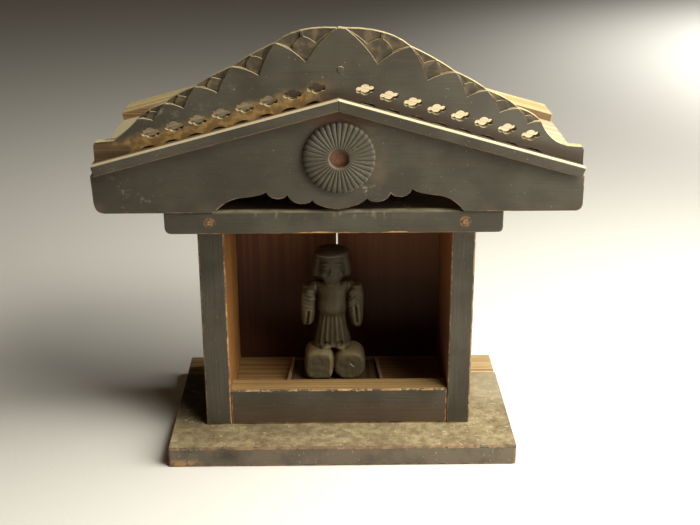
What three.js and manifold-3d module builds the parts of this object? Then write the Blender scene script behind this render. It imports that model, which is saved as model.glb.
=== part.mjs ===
// A small wooden wall-shelf shrine: a plank box with an open front, a broad gable with a fluted
// rosette, a pierced and chip-carved crest standing on the roof, and a carved figure on two bales.
// Millimetres, +Z up, front towards -Y. Every piece is one named mesh.

import * as THREE from 'three';
import Module from 'manifold-3d';
import { mergeVertices } from 'three/addons/utils/BufferGeometryUtils.js';

const wasm = await Module();
wasm.setup();

// ---- driving dimensions -------------------------------------------------------------------------

const BASE = { left: -145, right: 145, thickness: 17.7, joint: 139.3, back: 176.7 };
const BODY = { left: -116.7, right: 109.4, front: 40.4, back: 150, top: 206 };
const OPENING = { left: -95.2, right: 89.8 };
const SILL = { top: 50.3, front: 40.9, back: 62 };
const FLOOR_TOP = 30;
const BACK_BOARD = { thickness: 8, splitX: -3.4, splitTop: 1.8, splitBottom: 0.3 };
const TOP_BOARD = { left: -136.4, right: 124.9, top: 223.7, back: 176.7, cornerLeft: 5.5, cornerRight: 4 };
const PEG = { radius: 2.7, depth: 14, proud: 0.5, leftX: -101.5, rightX: 95.5, z: 215 };

const RIDGE = { x: -1.8, z: 312.2 };
const PITCH = { left: 0.266, right: 0.284 };
const ROOF = { leftEnd: -187.9, rightEnd: 184.2, rise: 8.4, front: -8.5, joint: 137, back: 176.7 };
const REAR_ROOF_RISE = 14.8;

const GABLE = { left: -189.8, right: 185, front: -1.5, thickness: 10, corner: 9 };
const REAR_GABLE = { left: -182, right: 178, thickness: 9 };
const SCALLOPS = {
  leftStart: [-97.5, 223.7],
  leftShoulder: [-77, 235.6],
  leftCusps: [[-57.4, 240], [-41.1, 237.6], [-22.1, 233.4]],
  point: [-2.2, 226],
  rightCusps: [[19.5, 234.6], [37.8, 238.6], [54.2, 241.8]],
  rightShoulder: [72.5, 236.9],
  rightEnd: [94, 223.7],
  lobeDrop: 4.6,
};
const ROSETTE = { x: -1.7, z: 267, radius: 27.6, valley: 26, thickness: 5, flutes: 36, eye: 7.4, eyeDepth: 3.6 };

const CREST = { front: 2, thickness: 9, petalStep: 1.7, chipStep: 3.3, peakZ: 363.2 };
const LEFT_WING = {
  side: -1,
  junctions: [2.5, 47.8, 79.9, 107.5, 130.5, 151.5],
  firstZ: 352.1,
  rake: 0.536,
  coveBend: [-160, 286.4],
  coveFoot: [-170.3, 280.1],
  step: [-184.9, 278.7],
  end: -186.2,
};
const RIGHT_WING = {
  side: 1,
  junctions: [3.3, 51.5, 85, 108.9, 132.9, 149.9],
  firstZ: 349,
  rake: 0.571,
  coveBend: [156.5, 277],
  coveFoot: [171.4, 274],
  step: [182.6, 273],
  end: 183.7,
};
const SEGMENT_BULGES = [5.6, 1.2, 1.2, 1.8, 1.8];
const NOTCH = { depths: [18.5, 15.2, 11.6, 9.4, 6.5], tip: 0.6, middle: 0.56, blunt: 0.02 };
const PIERCING = { first: 18.1, pitch: 17.8, count: 8, rise: 11.3, eye: 4.1, wing: 2.4, wingOut: 4.6 };
const FOOT_NOTCH = { out: 3, half: 6.6, rise: 4.4 };
const CREST_PEG = { x: -0.2, z: 332.8, radius: 2.6, depth: 5, proud: 0.4 };

const TRAY = { left: -49, right: 37, front: 91, back: 137, taper: 3.5, thickness: 2.5, rimWidth: 3, rimHeight: 6 };
const FIGURE = { x: -8.2, y: 108, baleTop: 62 };

const SOFT_EDGE = 0.8;

// ---- shared ways of making a solid -----------------------------------------------------------------

function material(color, roughness) {
  return new THREE.MeshStandardMaterial({ color, roughness, metalness: 0 });
}

const PAINTED = () => material(0x69645a, 0.75);
const RAW = () => material(0xc9a873, 0.8);
const BROWN = () => material(0x7a4a2c, 0.7);
const FIGURE_WOOD = () => material(0x6f634e, 0.7);

function piece(name, geometry, look) {
  const mesh = new THREE.Mesh(geometry, look);
  mesh.name = name;
  return mesh;
}

// An outline drawn in X and Z, given its thickness from the plane y = front backwards.
function upright(shape, front, thickness, edge = 0, curveSegments = 6) {
  const geometry = new THREE.ExtrudeGeometry(shape, {
    depth: thickness - 2 * edge,
    bevelEnabled: edge > 0,
    bevelThickness: edge,
    bevelSize: edge,
    bevelOffset: -edge,
    bevelSegments: 1,
    curveSegments,
  });
  geometry.rotateX(Math.PI / 2);
  geometry.translate(0, front + thickness - edge, 0);
  return geometry;
}

// An outline drawn in X and Y, given its height from z = bottom upwards.
function flat(shape, bottom, height, edge = 0) {
  const geometry = new THREE.ExtrudeGeometry(shape, {
    depth: height - 2 * edge,
    bevelEnabled: edge > 0,
    bevelThickness: edge,
    bevelSize: edge,
    bevelOffset: -edge,
    bevelSegments: 1,
  });
  geometry.translate(0, 0, bottom + edge);
  return geometry;
}

function polygon(points) {
  return new THREE.Shape(points.map(([x, y]) => new THREE.Vector2(x, y)));
}

function plank([x0, x1], [y0, y1], [z0, z1], edge = SOFT_EDGE) {
  return upright(polygon([[x0, z0], [x1, z0], [x1, z1], [x0, z1]]), y0, y1 - y0, edge);
}

function disc(x, z, radius, front, depth, sides = 20) {
  const shape = new THREE.Shape();
  shape.absarc(x, z, radius, 0, 2 * Math.PI, false);
  return upright(shape, front, depth, 0, sides);
}

// A closed skin through rings; each ring is {at: [x, y, z], half: [a, b], power} and lies level,
// or stands upright across Y when across is true. Power 2 is an ellipse, more is squarer.
function loft(rings, sides = 18, across = false) {
  const corners = [];
  for (const { at, half, power = 2 } of rings) {
    for (let i = 0; i < sides; i += 1) {
      const turn = (2 * Math.PI * i) / sides;
      const u = Math.sign(Math.cos(turn)) * Math.abs(Math.cos(turn)) ** (2 / power) * half[0];
      const v = Math.sign(Math.sin(turn)) * Math.abs(Math.sin(turn)) ** (2 / power) * half[1];
      corners.push(across ? [at[0] + u, at[1], at[2] + v] : [at[0] + u, at[1] + v, at[2]]);
    }
  }
  const faces = [];
  for (let r = 0; r < rings.length - 1; r += 1) {
    for (let i = 0; i < sides; i += 1) {
      const a = r * sides + i;
      const b = r * sides + ((i + 1) % sides);
      faces.push([a, b, b + sides], [a, b + sides, a + sides]);
    }
  }
  const last = (rings.length - 1) * sides;
  for (let i = 1; i < sides - 1; i += 1) {
    faces.push([0, i + 1, i], [last, last + i, last + i + 1]);
  }
  const order = across ? faces.map(([a, b, c]) => [a, c, b]) : faces;
  const geometry = new THREE.BufferGeometry();
  geometry.setAttribute('position', new THREE.Float32BufferAttribute(corners.flat(), 3));
  geometry.setIndex(order.flat());
  return geometry;
}

function toSolid(geometry) {
  const bare = new THREE.BufferGeometry();
  bare.setAttribute('position', geometry.getAttribute('position'));
  bare.setIndex(geometry.getIndex());
  const welded = mergeVertices(bare, 1e-4);
  return new wasm.Manifold(new wasm.Mesh({
    numProp: 3,
    vertProperties: new Float32Array(welded.getAttribute('position').array),
    triVerts: new Uint32Array(welded.getIndex().array),
  }));
}

function toGeometry(solid) {
  const mesh = solid.getMesh();
  const geometry = new THREE.BufferGeometry();
  geometry.setAttribute('position', new THREE.BufferAttribute(mesh.vertProperties, 3));
  geometry.setIndex(new THREE.BufferAttribute(mesh.triVerts, 1));
  geometry.computeVertexNormals();
  return geometry;
}

function joined(geometries) {
  return geometries.map(toSolid).reduce((whole, part) => whole.add(part));
}

function cut(geometry, cutters) {
  return toGeometry(toSolid(geometry).subtract(joined(cutters)));
}

// ---- base, walls and floor --------------------------------------------------------------------------

function baseBoard() {
  const solid = plank([BASE.left, BASE.right], [0, BASE.joint], [0, BASE.thickness], 1.2);
  return piece('base_board', solid, PAINTED());
}

function baseRearStrip() {
  const solid = plank([BASE.left, BASE.right - 0.8], [BASE.joint, BASE.back], [0, BASE.thickness]);
  return piece('base_rear_strip', solid, RAW());
}

function sideBoard(name, left, right) {
  const solid = plank([left, right], [BODY.front, BODY.back], [BASE.thickness, BODY.top]);
  return piece(name, solid, PAINTED());
}

// The back is two boards whose joint has opened towards the top.
function backBoard(name, outer, side) {
  const { thickness, splitX, splitTop, splitBottom } = BACK_BOARD;
  const outline = [
    [outer, BASE.thickness],
    [splitX + (side * splitBottom) / 2, BASE.thickness],
    [splitX + (side * splitTop) / 2, BODY.top],
    [outer, BODY.top],
  ];
  const shape = polygon(side < 0 ? outline : outline.reverse());
  return piece(name, upright(shape, BODY.back, thickness), BROWN());
}

function floorBoard() {
  const solid = plank([OPENING.left, OPENING.right], [SILL.back, BODY.back], [BASE.thickness, FLOOR_TOP], 0.4);
  return piece('floor_board', solid, RAW());
}

function frontSill() {
  const solid = plank([OPENING.left, OPENING.right], [SILL.front, SILL.back], [BASE.thickness, SILL.top]);
  return piece('front_sill', solid, PAINTED());
}

// The top board's front edge is the lintel; its lower corners are rounded and two pegs enter it.
function topBoard() {
  const { left, right, top, back, cornerLeft, cornerRight } = TOP_BOARD;
  const shape = new THREE.Shape();
  shape.moveTo(left + cornerLeft, BODY.top);
  shape.lineTo(right - cornerRight, BODY.top);
  shape.quadraticCurveTo(right, BODY.top, right, BODY.top + cornerRight);
  shape.lineTo(right, top);
  shape.lineTo(left, top);
  shape.lineTo(left, BODY.top + cornerLeft);
  shape.quadraticCurveTo(left, BODY.top, left + cornerLeft, BODY.top);
  const board = upright(shape, 0, back, SOFT_EDGE);
  const holes = [PEG.leftX, PEG.rightX].map((x) => disc(x, PEG.z, PEG.radius, -5, PEG.depth + 5, 8));
  return piece('top_board', cut(board, holes), PAINTED());
}

function lintelPeg(name, x) {
  const solid = disc(x, PEG.z, PEG.radius - 0.03, -PEG.proud, PEG.depth + PEG.proud, 8);
  return piece(name, solid, RAW());
}

// ---- roof and gables ------------------------------------------------------------------------------

// Height of the roof's top surface over a point, or of a surface parallel to it.
function roofTop(x, lift = 0) {
  const fall = x < RIDGE.x ? PITCH.left * (RIDGE.x - x) : PITCH.right * (x - RIDGE.x);
  return RIDGE.z - fall + lift;
}

function roofSlope(name, end, lift, front, back, look) {
  const side = Math.sign(end);
  const pitch = side < 0 ? PITCH.left : PITCH.right;
  const underEnd = end - side * pitch * ROOF.rise;
  const points = [
    [RIDGE.x, RIDGE.z - ROOF.rise],
    [underEnd, roofTop(underEnd, -ROOF.rise)],
    [end, roofTop(end, lift)],
    [RIDGE.x, RIDGE.z + lift],
  ];
  const shape = polygon(side > 0 ? points : points.reverse());
  return piece(name, upright(shape, front, back - front, 0.5), look);
}

function gableTop(shape, left, right) {
  shape.lineTo(right, roofTop(right, -ROOF.rise));
  shape.lineTo(RIDGE.x, RIDGE.z - ROOF.rise);
  shape.lineTo(left, roofTop(left, -ROOF.rise));
}

// One lobe hangs between two cusps, its curve dropping straight below each cusp first.
function lobe(shape, from, to, drop) {
  const low = Math.min(from[1], to[1]) - drop;
  shape.bezierCurveTo(from[0] + 0.18 * (to[0] - from[0]), low, to[0] - 0.18 * (to[0] - from[0]), low, to[0], to[1]);
}

function scallopedEdge(shape) {
  const { leftStart, leftShoulder, leftCusps, point, rightCusps, rightShoulder, rightEnd, lobeDrop } = SCALLOPS;
  shape.lineTo(...leftStart);
  shape.quadraticCurveTo(leftStart[0] + 9, leftShoulder[1] - 1.5, ...leftShoulder);
  shape.quadraticCurveTo(leftCusps[0][0] - 4.5, leftShoulder[1] + 0.9, ...leftCusps[0]);
  lobe(shape, leftCusps[0], leftCusps[1], lobeDrop);
  lobe(shape, leftCusps[1], leftCusps[2], lobeDrop);
  shape.quadraticCurveTo(leftCusps[2][0] + 3, point[1] + 1.6, ...point);
  shape.quadraticCurveTo(rightCusps[0][0] - 4, point[1] + 2.6, ...rightCusps[0]);
  lobe(shape, rightCusps[0], rightCusps[1], lobeDrop);
  lobe(shape, rightCusps[1], rightCusps[2], lobeDrop);
  shape.quadraticCurveTo(rightCusps[2][0] + 5, rightShoulder[1] + 0.9, ...rightShoulder);
  shape.quadraticCurveTo(rightEnd[0] - 8, rightShoulder[1] - 1.5, ...rightEnd);
}

function gableBoard() {
  const { left, right, front, thickness, corner } = GABLE;
  const shape = new THREE.Shape();
  shape.moveTo(left + corner, TOP_BOARD.top);
  scallopedEdge(shape);
  shape.lineTo(right - corner * 0.6, TOP_BOARD.top);
  shape.quadraticCurveTo(right, TOP_BOARD.top, right, TOP_BOARD.top + corner * 0.7);
  gableTop(shape, left, right);
  shape.lineTo(left + 0.9, TOP_BOARD.top + corner);
  shape.quadraticCurveTo(left + 1.4, TOP_BOARD.top, left + corner, TOP_BOARD.top);
  return piece('gable_board', upright(shape, front, thickness), PAINTED());
}

function rearGable() {
  const { left, right, thickness } = REAR_GABLE;
  const shape = new THREE.Shape();
  shape.moveTo(left, TOP_BOARD.top);
  shape.lineTo(right, TOP_BOARD.top);
  gableTop(shape, left, right);
  return piece('rear_gable', upright(shape, ROOF.back - thickness, thickness), RAW());
}

function rosette() {
  const { x, z, radius, valley, thickness, flutes, eye, eyeDepth } = ROSETTE;
  const rim = [];
  for (let i = 0; i < flutes; i += 1) {
    for (const [step, reach] of [[-0.5, valley], [-0.25, radius - 0.3], [0, radius], [0.25, radius - 0.3]]) {
      const turn = (2 * Math.PI * (i + step)) / flutes;
      rim.push([x + reach * Math.cos(turn), z + reach * Math.sin(turn)]);
    }
  }
  const front = GABLE.front - thickness;
  const body = upright(polygon(rim), front, thickness, 0.9);
  return piece('rosette', cut(body, [disc(x, z, eye, front - 2, eyeDepth + 2, 10)]), PAINTED());
}

// ---- crest ---------------------------------------------------------------------------------------

// The points where the crest's petals touch its outline fall on a straight rake below the crown.
function junctionPoint({ side, junctions, firstZ, rake }, i) {
  const z = i === 0 ? CREST.peakZ - 0.6 : firstZ - rake * (junctions[i] - junctions[1]);
  return [side * junctions[i], z];
}

// A point some share of the way along a segment of the outline, dropped square to it.
function alongSegment(wing, i, share, drop) {
  const [x0, z0] = junctionPoint(wing, i);
  const [x1, z1] = junctionPoint(wing, i + 1);
  const length = Math.hypot(x1 - x0, z1 - z0);
  const inward = [(-wing.side * (z0 - z1)) / length, -Math.abs(x1 - x0) / length];
  return [x0 + share * (x1 - x0) + drop * inward[0], z0 + share * (z1 - z0) + drop * inward[1]];
}

// Half-moon openings along the foot, under the piercings, taken from the wing's end inwards.
function crestFoot(shape, side) {
  const { first, pitch, count } = PIERCING;
  for (let i = count - 1; i >= 0; i -= 1) {
    const x = side * (first + i * pitch + FOOT_NOTCH.out);
    const from = x + side * FOOT_NOTCH.half;
    const to = x - side * FOOT_NOTCH.half;
    shape.lineTo(from, roofTop(from));
    shape.quadraticCurveTo(x, roofTop(x, FOOT_NOTCH.rise), to, roofTop(to));
  }
}

function crestWing(wing) {
  const shape = new THREE.Shape();
  shape.moveTo(RIDGE.x, RIDGE.z);
  shape.lineTo(RIDGE.x, CREST.peakZ);
  shape.lineTo(...junctionPoint(wing, 0));
  SEGMENT_BULGES.forEach((bulge, i) => {
    shape.quadraticCurveTo(...alongSegment(wing, i, 0.62, -1.6 * bulge), ...junctionPoint(wing, i + 1));
  });
  shape.quadraticCurveTo(...wing.coveBend, ...wing.coveFoot);
  shape.lineTo(...wing.step);
  shape.lineTo(wing.end, wing.step[1] - 2);
  shape.lineTo(wing.end, roofTop(wing.end));
  crestFoot(shape, wing.side);
  return upright(shape, CREST.front, CREST.thickness);
}

// A pocket between two petals: both flanks curve into it and meet at a point below the outline.
function pocket(wing, i, [from, tip, to], drop, depth) {
  const shape = new THREE.Shape();
  shape.moveTo(...alongSegment(wing, i, from, -12));
  shape.lineTo(...alongSegment(wing, i, from, 0));
  shape.quadraticCurveTo(...alongSegment(wing, i, (from + tip) * 0.56, drop * 0.34), ...alongSegment(wing, i, tip, drop));
  shape.quadraticCurveTo(...alongSegment(wing, i, tip + (to - tip) * 0.42, drop * 0.34), ...alongSegment(wing, i, to, 0));
  shape.lineTo(...alongSegment(wing, i, to, -12));
  return upright(shape, CREST.front - 3, depth + 3, 0, 4);
}

// Each notch is a shallow pocket with two deeper chips above its smaller inner petal.
function notchPockets(wing) {
  const { depths, tip, middle, blunt } = NOTCH;
  return depths.flatMap((drop, i) => [
    pocket(wing, i, [blunt, tip, 1 - blunt], drop, CREST.petalStep),
    pocket(wing, i, [blunt, 0.38, middle - blunt], 0.36 * drop, CREST.chipStep),
    pocket(wing, i, [middle + blunt, 0.76, 1 - blunt], 0.42 * drop, CREST.chipStep),
  ]);
}

// A round drilled eye with a smaller round wing on each side.
function piercing(x, z) {
  const { eye, wing, wingOut } = PIERCING;
  const through = [CREST.front - 2, CREST.thickness + 4];
  return [
    disc(x, z, eye, ...through, 8),
    disc(x - wingOut, z - 0.3, wing, ...through, 6),
    disc(x + wingOut, z + 0.3, wing, ...through, 6),
  ];
}

function piercings(side) {
  const { first, pitch, count, rise } = PIERCING;
  return Array.from({ length: count }, (_, i) => side * (first + i * pitch))
    .flatMap((x) => piercing(x, roofTop(x, rise)));
}

function crest() {
  const { x, z, radius, depth } = CREST_PEG;
  const wings = joined([crestWing(LEFT_WING), crestWing(RIGHT_WING)]);
  const cuts = [
    ...notchPockets(LEFT_WING),
    ...notchPockets(RIGHT_WING),
    ...piercings(-1),
    ...piercings(1),
    disc(x, z, radius, CREST.front - 2, depth + 2, 8),
  ];
  return piece('crest', toGeometry(wings.subtract(joined(cuts))), PAINTED());
}

function crestPeg() {
  const { x, z, radius, depth, proud } = CREST_PEG;
  return piece('crest_peg', disc(x, z, radius - 0.03, CREST.front - proud, depth + proud, 8), PAINTED());
}

// ---- tray and figure --------------------------------------------------------------------------------

// A thin tray, a little narrower at the back, with a low rim along each side.
function figureTray() {
  const { left, right, front, back, taper, thickness, rimWidth, rimHeight } = TRAY;
  const floor = polygon([[left, front], [right, front], [right - taper, back], [left + taper, back]]);
  const rims = [[left, left + rimWidth, taper], [right - rimWidth, right, -taper]].map(([x0, x1, lean]) =>
    flat(polygon([[x0, front], [x1, front], [x1 + lean, back], [x0 + lean, back]]), FLOOR_TOP, rimHeight));
  return piece('figure_tray', toGeometry(joined([flat(floor, FLOOR_TOP, thickness), ...rims])), BROWN());
}

// Rings of the standing figure are given as [offset from its middle, y, z, half width, half depth].
function figureLoft(rows, power = 2.4, sides = 18) {
  return loft(rows.map(([dx, dy, z, a, b]) => ({ at: [FIGURE.x + dx, FIGURE.y + dy, z], half: [a, b], power })), sides);
}

function bale(x0, x1, top, power) {
  const bottom = FLOOR_TOP + TRAY.thickness;
  const half = [(x1 - x0) / 2, (top - bottom) / 2];
  const middle = [(x0 + x1) / 2, (top + bottom) / 2];
  const rings = [[-14, 0.84], [-11.5, 0.97], [-6, 1], [6, 1], [11.5, 0.97], [14, 0.84]].map(([dy, grow]) => ({
    at: [middle[0], FIGURE.y - 1 + dy, middle[1]],
    half: [half[0] * grow, half[1] * grow],
    power,
  }));
  return loft(rings, 20, true);
}

function robe() {
  const trousers = figureLoft([
    [0, 1, 61, 15.6, 8.6], [0, 1, 64.5, 17, 9.8], [0, 1, 71, 16, 9.8], [0, 0.6, 82, 13.4, 9.6], [0, 0, 97, 11.5, 9.5],
  ]);
  const body = figureLoft([
    [0, 0, 92, 10, 8], [0, -1, 96, 12.4, 11.4], [0, -1.6, 102, 13.4, 12.8], [0, -0.8, 111, 14.2, 11.8],
    [0, 0, 118, 19, 9.4], [0, 0, 122.4, 20.5, 7.6], [0, 0, 125.4, 14, 6],
  ]);
  return [trousers, body];
}

function sleeve(side) {
  const lower = side > 0 ? -2.6 : 0;
  return figureLoft([
    [side * 23.2, -2, 84.6 + lower, 2.6, 4.4], [side * 22, -2, 90 + lower, 5.6, 7.4],
    [side * 21.4, -2, 100 + lower, 6.7, 8.4], [side * 21.6, -1, 112, 6.4, 8],
    [side * 21.6, 0, 121, 5.4, 6.6], [side * 19, 0, 124.4, 4, 4.6],
  ], 2.3, 14);
}

function hand(dx, z, tilt) {
  return figureLoft([
    [dx - tilt, -8, z - 6, 2, 2], [dx, -10.4, z - 2, 3.6, 3.2], [dx, -10.8, z + 2, 3.6, 3.2], [dx + tilt, -8.6, z + 5, 1.8, 2],
  ], 2, 10);
}

function head() {
  const face = figureLoft([
    [0, -1, 122, 7, 6.4], [0, -3, 126, 7.4, 7.2], [0, -2, 129, 10.6, 10], [0, -1, 135, 12.2, 11.6],
    [0, -0.5, 143, 12.4, 12], [0, 0, 150.6, 12.4, 12],
  ], 2.2, 20);
  const hood = figureLoft([
    [0, 3, 128.6, 17.5, 6], [0, 3, 131, 17.2, 8], [0, 2, 141, 16.6, 10], [0, 1.4, 150.4, 14.4, 10.6],
  ], 3, 20);
  const cap = figureLoft([
    [0, 0, 149.8, 14.8, 12.8], [0, 0, 151, 15.4, 13.4], [0, 0.3, 153.2, 14.4, 12.6],
    [0, 0.6, 155, 11.4, 9.8], [0, 0.8, 156, 6.4, 5.6],
  ], 2.2, 20);
  const nose = figureLoft([[0, -13, 134.4, 2.6, 2], [0, -13.4, 136.4, 2, 1.8], [0, -12.4, 141, 1.1, 1.4]], 2, 8);
  return [face, hood, cap, nose];
}

function figure() {
  const feet = [-7, 7].map((dx) => figureLoft([[dx, -1, 60, 5, 9.4], [dx, -1, 63, 4.8, 9], [dx, 0, 65.6, 3, 6.4]], 2.2, 12));
  const parts = [
    bale(-33.6, -7, FIGURE.baleTop, 3.2),
    bale(-7.4, 21.4, FIGURE.baleTop - 0.6, 2.4),
    ...feet,
    ...robe(),
    sleeve(-1),
    sleeve(1),
    hand(-15.4, 113.5, -1.4),
    hand(17.6, 106, 1.2),
    ...head(),
  ];
  return piece('figure', toGeometry(joined(parts)), FIGURE_WOOD());
}

// ---- the whole ------------------------------------------------------------------------------------

const shrine = new THREE.Group();
shrine.name = 'shrine_box';
shrine.position.set(-(GABLE.left + GABLE.right) / 2, -(ROOF.front + BASE.back) / 2, 0);
shrine.add(
  baseBoard(),
  baseRearStrip(),
  sideBoard('left_side', BODY.left, OPENING.left),
  sideBoard('right_side', OPENING.right, BODY.right),
  backBoard('back_board_left', BODY.left, -1),
  backBoard('back_board_right', BODY.right, 1),
  floorBoard(),
  frontSill(),
  topBoard(),
  lintelPeg('lintel_peg_left', PEG.leftX),
  lintelPeg('lintel_peg_right', PEG.rightX),
  gableBoard(),
  rearGable(),
  rosette(),
  roofSlope('roof_left', ROOF.leftEnd, 0, ROOF.front, ROOF.joint, PAINTED()),
  roofSlope('roof_right', ROOF.rightEnd, 0, ROOF.front, ROOF.joint, PAINTED()),
  roofSlope('roof_rear_left', ROOF.leftEnd, REAR_ROOF_RISE - ROOF.rise, ROOF.joint, ROOF.back, RAW()),
  roofSlope('roof_rear_right', ROOF.rightEnd, REAR_ROOF_RISE - ROOF.rise, ROOF.joint, ROOF.back, RAW()),
  crest(),
  crestPeg(),
  figureTray(),
  figure(),
);

export default shrine;
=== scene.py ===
import math

import bmesh
import bpy
from mathutils import Matrix, Vector, noise


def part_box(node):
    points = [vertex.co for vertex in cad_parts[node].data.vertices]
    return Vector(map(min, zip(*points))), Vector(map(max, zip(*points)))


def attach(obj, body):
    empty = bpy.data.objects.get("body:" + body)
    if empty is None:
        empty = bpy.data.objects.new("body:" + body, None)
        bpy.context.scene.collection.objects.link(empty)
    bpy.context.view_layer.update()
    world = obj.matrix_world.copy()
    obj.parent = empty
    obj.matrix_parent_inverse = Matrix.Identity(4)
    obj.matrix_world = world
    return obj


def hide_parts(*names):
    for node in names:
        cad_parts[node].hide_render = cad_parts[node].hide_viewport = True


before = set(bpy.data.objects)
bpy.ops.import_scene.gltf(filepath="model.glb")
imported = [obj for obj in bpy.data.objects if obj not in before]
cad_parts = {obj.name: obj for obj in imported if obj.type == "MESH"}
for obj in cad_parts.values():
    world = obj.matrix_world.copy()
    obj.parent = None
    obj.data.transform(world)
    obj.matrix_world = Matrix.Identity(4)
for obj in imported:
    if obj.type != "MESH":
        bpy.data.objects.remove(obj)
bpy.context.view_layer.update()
scene = bpy.context.scene
scene.view_settings.view_transform = "Standard"


# ---- the table and its light --------------------------------------------------------------------
# A pale table top in a dim warm room, under one broad soft lamp from the right, a weak lamp over the
# viewer's shoulder and one high over the table's far right. The camera looks down a little at the
# shrine's open front.

class Wire:
    """A socket in a material. Sums on it add Math nodes, and node() adds any other node."""

    def __init__(self, socket):
        self.socket = socket

    def node(self, kind, settings=None, values=None, output=0):
        made = self.socket.id_data.nodes.new(kind)
        for name, value in (settings or {}).items():
            setattr(made, name, value)
        for name, value in (values or {}).items():
            if isinstance(value, Wire):
                self.socket.id_data.links.new(value.socket, made.inputs[name])
            else:
                made.inputs[name].default_value = value
        return Wire(made.outputs[output]) if made.outputs else made

    def maths(self, operation, first, second=0.0):
        return self.node("ShaderNodeMath", {"operation": operation}, {0: first, 1: second})

    def __add__(self, other):
        return self.maths("ADD", self, other)

    def __radd__(self, other):
        return self.maths("ADD", other, self)

    def __sub__(self, other):
        return self.maths("SUBTRACT", self, other)

    def __rsub__(self, other):
        return self.maths("SUBTRACT", other, self)

    def __mul__(self, other):
        return self.maths("MULTIPLY", self, other)

    def __rmul__(self, other):
        return self.maths("MULTIPLY", other, self)

    def off(self, middle):
        """How far the value is from middle, either way."""
        return self.maths("ABSOLUTE", self - middle)

    def rise(self, low, high):
        """0 at low and 1 at high, smooth between; high may be the lower number."""
        smooth = {"interpolation_type": "SMOOTHSTEP"}
        return self.node("ShaderNodeMapRange", smooth, {0: self, 1: low, 2: high})

    def near(self, middle, reach):
        """1 where the value is close to middle, 0 further off than reach."""
        return self.off(middle).rise(reach, reach * 0.4)

    def parts(self):
        """The X, Y and Z of a vector."""
        return [self.node("ShaderNodeSeparateXYZ", None, {0: self}, i) for i in range(3)]

    def noise(self, scale, stretch=(1, 1, 1), detail=3.0, rough=0.5, at=(0, 0, 0)):
        place = self.node("ShaderNodeMapping", None, {"Vector": self, "Scale": stretch, "Location": at})
        values = {"Vector": place, "Scale": scale, "Detail": detail, "Roughness": rough}
        return self.node("ShaderNodeTexNoise", None, values)

    def blend(self, first, second):
        """The colour first where this mask is 0, and second where it is 1."""
        return self.node("ShaderNodeMix", {"data_type": "RGBA"}, {0: self, 6: first, 7: second}, 2)


def colour(red, green, blue):
    """An opaque colour, as a socket takes it."""
    return (red, green, blue, 1)


def new_finish(name):
    """An empty material, the place on the piece, and the way that the surface faces."""
    material = bpy.data.materials.new(name)
    material.use_nodes = True
    material.node_tree.nodes.clear()
    place = Wire(material.node_tree.nodes.new("ShaderNodeTexCoord").outputs["Object"])
    facing = place.node("ShaderNodeNewGeometry", None, None, 1)
    return material, place, facing


def finish_with(place, shade, roughness, height, depth, gloss=0.35):
    """Ends a material with its colour, and with relief of that depth in metres."""
    bumped = place.node("ShaderNodeBump", None, {"Distance": depth, "Height": height})
    values = {"Base Color": shade, "Roughness": roughness, "Normal": bumped, "Specular IOR Level": gloss}
    shader = place.node("ShaderNodeBsdfPrincipled", None, values)
    place.node("ShaderNodeOutputMaterial", None, {"Surface": shader})


TABLE_HALF = 6.0
PAPER, PAPER_FIBRE = colour(0.82, 0.8, 0.735), colour(0.83, 0.805, 0.74)

paper_finish, place, facing = new_finish("pale_paper")
fibre = place.noise(300, detail=2)
shade = fibre.rise(0.2, 0.8).blend(PAPER, PAPER_FIBRE)
finish_with(place, shade, roughness=0.9, height=fibre, depth=0.0001, gloss=0.2)
table = bmesh.new()
bmesh.ops.create_grid(table, x_segments=2, y_segments=2, size=TABLE_HALF)
table_mesh = bpy.data.meshes.new("table_top")
table.to_mesh(table_mesh)
table.free()
table_mesh.materials.append(paper_finish)
floor = bpy.data.objects.new("table_top", table_mesh)
scene.collection.objects.link(floor)

CAMERA = Vector((-0.0023, -0.9247, 0.5012))
PITCH_DOWN, YAW_RIGHT, ROLL = 20.8, 0.76, -0.15
LENS, SENSOR_WIDTH = 59.26, 36

camera_data = bpy.data.cameras.new("camera")
camera_data.sensor_width = SENSOR_WIDTH
camera_data.lens = LENS
camera = bpy.data.objects.new("camera", camera_data)
camera.matrix_world = (
    Matrix.Translation(CAMERA)
    @ Matrix.Rotation(math.radians(-YAW_RIGHT), 4, "Z")
    @ Matrix.Rotation(math.radians(90 - PITCH_DOWN), 4, "X")
    @ Matrix.Rotation(math.radians(ROLL), 4, "Z")
)
scene.collection.objects.link(camera)
scene.camera = camera

NICHE, FAR_RIGHT = Vector((0, 0, 0.15)), Vector((1.75, 1.5, 0))
ROOM_TINT, ROOM_STRENGTH = colour(1.0, 0.74, 0.44), 0.03


def lamp(name, azimuth, elevation, distance, size, watts, tint, aim=NICHE, spread=180):
    """A square soft lamp; azimuth 0 is in front of the shrine and 90 is to its right."""
    data = bpy.data.lights.new(name, "AREA")
    data.shape, data.size, data.energy, data.color = "SQUARE", size, watts, tint
    data.spread = math.radians(spread)
    turn, lift = math.radians(azimuth), math.radians(elevation)
    way = Vector((math.cos(lift) * math.sin(turn), -math.cos(lift) * math.cos(turn), math.sin(lift)))
    light = bpy.data.objects.new(name, data)
    facing_aim = way.to_track_quat("Z", "Y").to_matrix().to_4x4()
    light.matrix_world = Matrix.Translation(aim + distance * way) @ facing_aim
    scene.collection.objects.link(light)


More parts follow.
